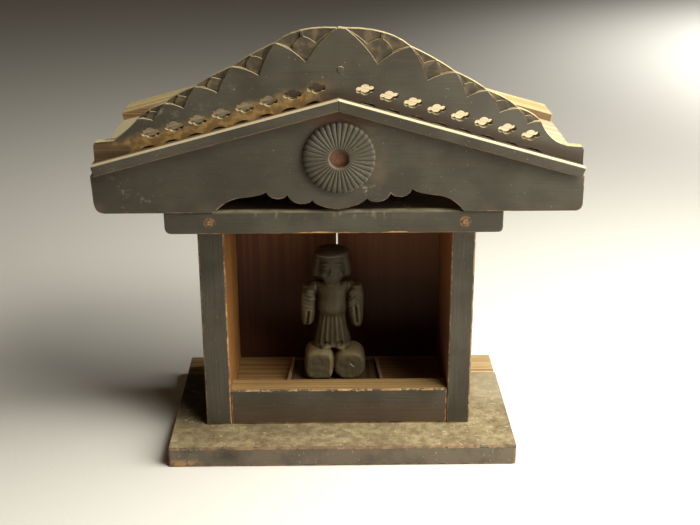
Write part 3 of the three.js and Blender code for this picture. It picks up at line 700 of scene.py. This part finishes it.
for node, side in (("roof_rear_left", -1), ("roof_rear_right", 1)):
    rear_finish, place, facing = new_finish(node + "_bare")
    shade, height = bare(place, ALONG_SLOPE, REAR_TOP_LIGHT, REAR_TOP_DARK, seed=23.0 + side, lines=170)
    # Painted shade: the front faces are darker than the tops, the right one most.
    tone = RIGHT_REAR_FACE_SHADE if side > 0 else LEFT_REAR_FACE_SHADE
    front_shade, _ = bare(place, ALONG_X, tone, REAR_FACE_SHADE_DARK, seed=25.0, lines=300)
    shade = looking_front(facing).blend(shade, front_shade)
    finish_with(place, shade, roughness=0.72, height=height, depth=0.0008)
    plank = copied(node)
    sliced(plank, axis=0, step=0.008)
    worn_edges(plank, width=0.0007, chips=0.0005, seed=11.0 + side)
    settle(plank, node + "_strip", node, [rear_finish, rear_finish])


# ---- crest --------------------------------------------------------------------------------------
# A thin board standing on the roof, pierced along its foot and chip-carved along its top in two
# layers of petals. Its cut edges are rubbed to light wood, its left foot is worn to orange, and a
# stained plug sits near its crown. Painted light makes the right of its face paler, and its upward
# faces paler together with their wear.

CREST_RIGHT_PAINTED_LIGHT, CREST_FOOT = colour(0.11, 0.1, 0.08), colour(0.04, 0.026, 0.016)
ORANGE_DARK, ORANGE_LIGHT = colour(0.15, 0.085, 0.026), colour(0.29, 0.18, 0.06)
END_LIGHT, END_DARK = colour(0.125, 0.078, 0.034), colour(0.055, 0.031, 0.014)
BLOTCH = colour(0.24, 0.22, 0.17)
CARVED_DARK, CARVED_LIGHT = colour(0.05, 0.037, 0.022), colour(0.14, 0.1, 0.05)
UPPER_FACES_WORN_AND_LIT = colour(0.56, 0.46, 0.25)
BEHIND_LIGHT, BEHIND_DARK = colour(0.36, 0.24, 0.12), colour(0.2, 0.12, 0.055)
CREST_EDGE, CREST_EDGE_PALE = colour(0.38, 0.28, 0.14), colour(0.66, 0.56, 0.36)
ROOF_FALL = 0.275

low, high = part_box("crest")
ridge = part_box("roof_left")[1]
crest_finish, place, facing = new_finish("crest_stain")
x, y, z = place.parts()
shade, height = stain(place, ALONG_X, seed=50.0, warm=0.25)
# Painted light: the right part of the crest's face is paler.
shade = (x.rise(ridge.x + 0.0194, ridge.x + 0.1494) * 0.5).blend(shade, CREST_RIGHT_PAINTED_LIGHT)
above_roof = z - ridge.z + x.off(ridge.x) * ROOF_FALL
left = x.rise(ridge.x + 0.0034, ridge.x - 0.0306)
ragged = above_roof + place.noise(85, detail=4, rough=0.6, at=(3, 0, 0)) * 0.014
orange = ragged.rise(0.0245, 0.014) * left
orange_shade = place.noise(170, detail=3).rise(0.4, 0.62).blend(ORANGE_DARK, ORANGE_LIGHT)
shade = (orange * 0.92).blend(shade, orange_shade)
foot = above_roof.rise(0.012, 0.003) * (1 - left)
shade = (foot * 0.8).blend(shade, CREST_FOOT)
end = x.rise(low.x + 0.034, low.x + 0.024) * z.rise(low.z + 0.019, low.z + 0.0165)
end_shade, _ = bare(place, ALONG_X, END_LIGHT, END_DARK, seed=27.0, lines=420)
shade = (end * 0.9).blend(shade, end_shade)
blotch = place.noise(85, detail=4, rough=0.65, at=(9, 0, 2)).rise(0.52, 0.68)
blotch = blotch * above_roof.near(0.03, 0.02) * x.near(low.x + 0.0688, 0.05)
shade = (blotch * 0.28).blend(shade, BLOTCH)
carved = y.rise(low.y + 0.0012, low.y + 0.0016) * y.rise(low.y + 0.0045, low.y + 0.004)
carved_shade = place.noise(150, detail=3).rise(0.42, 0.66).blend(CARVED_DARK, CARVED_LIGHT)
shade = (carved * 0.7).blend(shade, carved_shade)
# Wear and painted light: faces that look up, the top edge and the hole bottoms, are paler.
rubbed = place.noise(120, detail=3).rise(0.3, 0.5) * 0.5 + 0.45
shade = (looking_up(facing, 0.35, 0.7) * rubbed).blend(shade, UPPER_FACES_WORN_AND_LIT)
behind_shade, _ = bare(place, ALONG_X, BEHIND_LIGHT, BEHIND_DARK, seed=29.0, lines=200)
shade = facing.parts()[1].rise(0.6, 0.8).blend(shade, behind_shade)
finish_with(place, shade, roughness=0.55, height=height, depth=0.0003)
crest = copied("crest")
worn_edges(crest, width=0.0004, chips=0.0002, seed=13.0)
crest_edge = rubbed_edge("crest_edge", ALONG_X, 0.95, CREST_EDGE, CREST_EDGE_PALE, seed=31.0)
settle(crest, "carved_crest", "crest", [crest_finish, crest_edge])

plug = copied("crest_peg")
worn_edges(plug, width=0.0004)
settle(plug, "crest_plug", "crest_peg", [crest_finish, crest_finish])


# ---- tray ---------------------------------------------------------------------------------------
# A thin tray of brown wood on the floor of the niche, its two low rims rubbed pale on top.

TRAY_LIGHT, TRAY_DARK = colour(0.11, 0.065, 0.03), colour(0.055, 0.03, 0.014)
TRAY_RUBBED = colour(0.26, 0.18, 0.1)

low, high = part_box("figure_tray")
tray_finish, place, facing = new_finish("tray_brown")
x, y, z = place.parts()
shade, height = bare(place, ALONG_Y, TRAY_LIGHT, TRAY_DARK, seed=33.0, lines=260)
shade = (z.rise(high.z - 0.0012, high.z - 0.0004) * 0.85).blend(shade, TRAY_RUBBED)
finish_with(place, shade, roughness=0.6, height=height, depth=0.0004)
tray = copied("figure_tray")
worn_edges(tray, width=0.0004)
settle(tray, "tray", "figure_tray", [tray_finish, tray_finish])


# ---- figure -------------------------------------------------------------------------------------
# One carving in smoked wood: a standing child-like figure in a flat cap and side-cut hair, with
# hanging sleeves and pleated trousers, on two rounded rice bales. It is built up from rounded
# lumps, fused, and then cut with folds as with a small gouge.

MM = 0.001
VOXEL = 0.7 * MM
FEET_X = (-5.8, 7.2)
PLEATS = (-0.8, -0.5, -0.16, 0.13, 0.46, 0.8)
WOOD_LIGHT, WOOD_DARK = colour(0.064, 0.048, 0.021), colour(0.044, 0.032, 0.013)
WOOD_CLOUD, WORN_PROUD = colour(0.088, 0.064, 0.027), colour(0.2, 0.155, 0.085)
FOLD_DARK, HEAD_PAINTED_SHADE = colour(0.03, 0.021, 0.012), colour(0.024, 0.018, 0.009)
BALE_BROWN, BALE_TOP_PAINTED_LIGHT = colour(0.15, 0.122, 0.07), colour(0.28, 0.22, 0.1)
CAP, CAP_RIM_HIGHLIGHT = colour(0.045, 0.036, 0.025), colour(0.17, 0.14, 0.095)
FLANKS, MIDDLE_FOLD = colour(0.03, 0.021, 0.01), colour(0.035, 0.018, 0.006)
SEAM, SEAM_LIT = colour(0.16, 0.08, 0.03), colour(0.33, 0.25, 0.12)
SCRATCH = colour(0.6, 0.56, 0.42)

low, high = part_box("figure")
stand = Vector((low.x + 0.0281, low.y + 0.0152, low.z))


def lump(carving, at, radii, tilt=0.0):
    """An egg of wood at a point above the stand in millimetres, turned about Y by tilt degrees."""
    made = bmesh.ops.create_uvsphere(carving, u_segments=20, v_segments=12, radius=1)
    turn = Matrix.Rotation(math.radians(tilt), 3, "Y")
    for v in made["verts"]:
        egg = Vector((v.co.x * radii[0], v.co.y * radii[1], v.co.z * radii[2]))
        v.co = stand + MM * (Vector(at) + turn @ egg)


def swept(carving, rings, power=2.3, across=False):
    """A closed skin through level rings of (x, y, z, half width, half depth), or upright ones."""
    loops = []
    for dx, dy, dz, half, other in rings:
        made = bmesh.ops.create_circle(carving, cap_ends=False, radius=1, segments=32)
        loops.append(list({e for v in made["verts"] for e in v.link_edges}))
        for v in made["verts"]:
            u = math.copysign(abs(v.co.x) ** (2 / power), v.co.x) * half
            w = math.copysign(abs(v.co.y) ** (2 / power), v.co.y) * other
            v.co = stand + MM * Vector((dx + u, dy, dz + w) if across else (dx + u, dy + w, dz))
    for one, next_one in zip(loops, loops[1:]):
        bmesh.ops.bridge_loops(carving, edges=one + next_one)
    for end in (loops[0], loops[-1]):
        bmesh.ops.edgeloop_fill(carving, edges=end)


carving = bmesh.new()

# The two bales, lying from front to back, and the feet on them.
BALE_RINGS = [
    (-15.0, 0.78), (-13.8, 0.9), (-11.0, 0.985), (-5.0, 1.0), (5.0, 1.0), (10.5, 0.97), (13.0, 0.84),
]
swept(carving, [(-12.1, y, 14.7, 13.3 * g, 14.7 * g) for y, g in BALE_RINGS], power=3.1, across=True)
swept(carving, [(15.2, y, 14.4, 14.4 * g, 14.4 * g) for y, g in BALE_RINGS], power=2.45, across=True)
for x in FEET_X:
    lump(carving, (x, -4.6, 30.4), (5.5, 6.6, 3.6))

# Trousers, trunk and shoulders.
swept(carving, [
    (0, 1, 29.5, 16, 9), (0, 1, 32, 17, 9.8), (0, 1, 39, 15.8, 9.6), (0, 0.6, 50, 13.2, 9.6),
    (0, 0, 64, 11.4, 9.4),
])
swept(carving, [
    (0, 0, 61, 8, 6), (0, -0.6, 62.6, 11.4, 10.6), (0, -1.2, 66, 12.8, 12), (0, -1.4, 70, 13, 12.6),
    (0, -0.8, 79, 12.6, 11.6), (0, 0, 86, 14, 9.6), (0, 0.2, 90, 12, 7.4),
])
swept(carving, [(0, 1, 80, 17, 6), (0, 1, 85, 21.4, 7.4), (0, 1, 88.6, 21.6, 6.6), (0, 1, 91.2, 17, 4.8)])

# The hanging sleeves, left and right, and the hands before them.
swept(carving, [
    (-22.6, -2.6, 52, 3.6, 4.6), (-22.2, -2.8, 54, 5.2, 6.2), (-21.6, -2.6, 62, 6.4, 7.8),
    (-21.6, -2, 72, 6.9, 8.4), (-21.8, -1.2, 82, 6.6, 7.8), (-21.2, 0, 88.4, 5, 6),
], power=2.5)
swept(carving, [
    (22.4, -2.8, 49.4, 2.8, 3.8), (22.2, -3, 52, 4.6, 5.6), (21.4, -2.8, 60, 6.2, 7.6),
    (20.8, -2.2, 70, 7.2, 8.4), (21.4, -1.2, 81, 6.8, 7.8), (21.0, 0, 88.4, 5, 6),
], power=2.5)
lump(carving, (-19.6, -7.2, 82.6), (4.6, 3.4, 4.6), -12)
lump(carving, (-18.8, -7.4, 77.6), (4.2, 3.2, 4.2), 10)
lump(carving, (18.4, -7.6, 74.4), (4.6, 3.6, 5.4), 14)
lump(carving, (19.2, -6.6, 81.6), (4.4, 3.2, 4.8), -10)

# Neck and head, hair and cap.
swept(carving, [
    (0, -1, 88, 7.4, 6.4), (0, -2.6, 92.6, 7.2, 6.8), (0, -3, 94.2, 8.4, 8.6), (0, -2, 97.2, 10.8, 10.4),
    (0, -1.2, 103, 12.2, 11.4), (0, -0.8, 110, 12.4, 11.6), (0, 0, 118, 12.4, 11.6),
], power=2.2)
swept(carving, [
    (0, 3, 96.2, 17.5, 6), (0, 3, 97.6, 17.6, 7.6), (0, 2.6, 104, 17.2, 9), (0, 2, 111, 16.4, 10),
    (0, 1.4, 118, 14.8, 10.8),
], power=3.2)
swept(carving, [
    (0, 0, 117.4, 14.9, 12.9), (0, 0, 118.2, 15.4, 13.4), (0, 0, 119.2, 15.2, 13.2),
    (0, 0.2, 120.8, 14.2, 12.2), (0, 0.5, 122.4, 11.4, 9.8), (0, 0.8, 123.4, 6.4, 5.6),
], power=2.15)

# A calm, plain face: brows, lids, cheeks and wings of the nose, then nose, lips and chin.
for side in (-1, 1):
    lump(carving, (side * 5.1, -11.2, 111.3), (4.1, 1.5, 0.9), side * 6)
    lump(carving, (side * 5.0, -11.0, 107.6), (3.0, 1.7, 1.25), side * 3)
    lump(carving, (side * 6.4, -9.6, 101.4), (3.6, 2.6, 3.2))
    lump(carving, (side * 1.5, -12.6, 102), (1.2, 1.3, 1.1))
swept(carving, [
    (0, -12.2, 101, 1.4, 1.1), (0, -12.6, 102.4, 1.7, 1.9), (0, -12, 105.4, 1.2, 1.6),
    (0, -11.2, 109.6, 1.1, 1.2),
], power=2)
lump(carving, (0, -11.7, 98.9), (2.6, 1.3, 0.62))
lump(carving, (0, -11.4, 97.5), (2.2, 1.3, 0.6))
lump(carving, (0, -10.4, 94.9), (3, 1.9, 1.6))

rough_mesh = bpy.data.meshes.new("rough_figure")
carving.to_mesh(rough_mesh)
carving.free()
rough_figure = bpy.data.objects.new("rough_figure", rough_mesh)
scene.collection.objects.link(rough_figure)
fuse = rough_figure.modifiers.new("fuse", "REMESH")
fuse.mode, fuse.voxel_size, fuse.adaptivity = "VOXEL", VOXEL, 0.0
fused = bpy.data.meshes.new_from_object(rough_figure.evaluated_get(bpy.context.evaluated_depsgraph_get()))
bpy.data.objects.remove(rough_figure)


def softened(carving, times):
    """Rubs the whole carving down evenly, a number of times."""
    for _ in range(times):
        bmesh.ops.smooth_vert(carving, verts=carving.verts, factor=0.5,
                              use_axis_x=True, use_axis_y=True, use_axis_z=True)


carving = bmesh.new()
carving.from_mesh(fused)
softened(carving, 2)
carving.normal_update()


def groove(offset, half):
    """How deep a gouge cut of that half width is at a distance from its line, from 0 to 1."""
    return max(0.0, 1 - (offset / half) ** 2)


def span(value, low_end, high_end, soft):
    """1 between two values, fading over soft at both."""
    return max(0.0, min(1.0, (value - low_end) / soft, (high_end - value) / soft))


def ripple(phase):
    """Shallow waves from 0 to 1, for the creases of a sleeve."""
    return 0.5 + 0.5 * math.sin(phase)


def trouser_cut(x, y, z, frontal):
    """The pleats, and the two arches that the hem makes over the feet."""
    width = 17.2 - 5.8 * min(max((z - 31) / 30, 0), 1)
    turned_in = frontal * span(z, 30.8, 61.5, 2.5)
    pleats = 0.95 * turned_in * max(groove(x / width - p, 0.13) for p in PLEATS)
    arch = max(36.4 - ((x + 5.6) / 5.4) ** 2 * 5, 36.4 - ((x - 7) / 5.6) ** 2 * 5)
    return pleats + 1.6 * frontal * span(arch - z, 0.0, 9.0, 0.8) * (y < -7.4) * (z > 33.6)


def left_sleeve_cut(x, z, frontal):
    """The slit up the left sleeve and its creases."""
    slit = x + 22.6 - (z - 52) * 0.14
    opened = 3.0 * frontal * groove(slit, 1.5) * span(z, 50, 67, 2.5)
    return opened + 0.5 * frontal * span(z, 65, 86, 2) * ripple((z + 0.25 * x) * 1.7) * (x > -26.5)


def right_sleeve_cut(x, z, frontal):
    """The slit up the right sleeve and its creases."""
    slit = x - 22.6 + (z - 52) * 0.085
    opened = 3.0 * frontal * groove(slit, 1.5) * span(z, 53, 72, 3)
    return opened + 0.45 * frontal * span(z, 62, 85, 2) * ripple((z - 0.8 * x) * 1.6) * (x < 22)


# Every point is pared back by the depth of the cuts that meet on it, in millimetres.
for v in carving.verts:
    x, y, z = (v.co - stand) / MM
    frontal = max(0.0, -v.normal.y)
    on_arm_line = 62 < z < 91 and 11.8 < abs(x) < 15.6
    on_eye = 104 < z < 109.2 and 2 < abs(x) < 8.2
    on_bale_end = z < 30 and y < -12
    cut = 0.0
    if z < 63 and abs(x) < 18.5 and y > -10.5:
        cut += trouser_cut(x, y, z, frontal)
    if 48 < z < 90 and x < -14.6:
        cut += left_sleeve_cut(x, z, frontal)
    if 46 < z < 90 and x > 13.2:
        cut += right_sleeve_cut(x, z, frontal)
    if on_arm_line:
        cut += 1.0 * frontal * groove(abs(x) - 13.4, 1.3)
    if on_eye:
        lid = 106.9 - ((abs(x) - 5) / 4.4) ** 2 * 0.9
        cut += 0.6 * frontal * groove(z - lid, 0.7)
    if on_bale_end:
        cut += 0.5 * noise.noise(v.co * 210) + 0.35 * noise.noise(v.co * 90)
    cut += 0.13 * noise.noise(v.co * 420) + 0.16 * noise.noise(v.co * 180)
    v.co -= v.normal * cut * MM

# How proud of its surroundings each point stands, for the wear on proud points and the darker folds.
PROUD_RANGE = 0.55 * MM
carving.normal_update()
proud_layer = carving.verts.layers.float.new("proud")
carved_points = [v.co.copy() for v in carving.verts]
carved_normals = [v.normal.copy() for v in carving.verts]
softened(carving, 9)
for v, point, normal in zip(carving.verts, carved_points, carved_normals):
    v[proud_layer] = min(max(0.5 + (point - v.co).dot(normal) / PROUD_RANGE, 0.0), 1.0)
    v.co = point

carving_finish, place, facing = new_finish("smoked_wood")
x, y, z = place.parts()
proud = place.node("ShaderNodeAttribute", {"attribute_name": "proud"}, None, 2)
shade, height = bare(place, ALONG_Z, WOOD_LIGHT, WOOD_DARK, seed=35.0, lines=300)
cloud = place.noise(65, detail=4, rough=0.6)
shade = (cloud.rise(0.4, 0.66) * 0.5).blend(shade, WOOD_CLOUD)
bales = z.rise(stand.z + 0.034, stand.z + 0.029)
shade = (bales * 0.5).blend(shade, BALE_BROWN)
# Painted light: the upper parts of the bales are paler.
shade = (z.rise(stand.z + 0.02, stand.z + 0.03) * bales * 0.6).blend(shade, BALE_TOP_PAINTED_LIGHT)
# Darker in the folds.
shade = (proud.rise(0.46, 0.1) * 0.85).blend(shade, FOLD_DARK)
shade = (proud.rise(0.6, 0.95) * (cloud * 0.4 + 0.15)).blend(shade, WORN_PROUD)
# Painted shade: the head, under the cap, is darker.
head = z.rise(stand.z + 0.088, stand.z + 0.096)
shade = (head * 0.65).blend(shade, HEAD_PAINTED_SHADE)
cap = z.rise(stand.z + 0.1185, stand.z + 0.1198)
shade = (cap * 0.75).blend(shade, CAP)
# Painted highlight: a pale line along the front of the cap's lower edge.
cap_rim_highlight = z.near(stand.z + 0.1182, 0.0006) * y.rise(stand.y - 0.006, stand.y - 0.011)
shade = (cap_rim_highlight * 0.5).blend(shade, CAP_RIM_HIGHLIGHT)
flanks = x.off(stand.x).rise(0.0085, 0.0125) * z.near(stand.z + 0.043, 0.016)
shade = (flanks * 0.6).blend(shade, FLANKS)
middle_fold = x.near(stand.x + 0.0012, 0.0012) * z.near(stand.z + 0.045, 0.014)
shade = (middle_fold * 0.5).blend(shade, MIDDLE_FOLD)
seam_lit = x.near(stand.x - 0.0012, 0.0022) * z.rise(stand.z + 0.0285, stand.z + 0.026)
shade = (seam_lit * 0.5).blend(shade, SEAM_LIT)
seam = x.near(stand.x + 0.0004, 0.0011) * z.rise(stand.z + 0.0295, stand.z + 0.027)
shade = (seam * 0.5).blend(shade, SEAM)
scratch_line = (z - stand.z - 0.0156) + (x - stand.x - 0.0172) * 0.85
scratch = scratch_line.near(0.0, 0.0007) * x.near(stand.x + 0.0174, 0.0025)
shade = (scratch * y.rise(stand.y - 0.009, stand.y - 0.012)).blend(shade, SCRATCH)
finish_with(place, shade, roughness=0.55, height=height, depth=0.0003)
figure = settle(carving, "carved_figure", "figure", [carving_finish])
figure.data.set_sharp_from_angle(angle=math.pi)
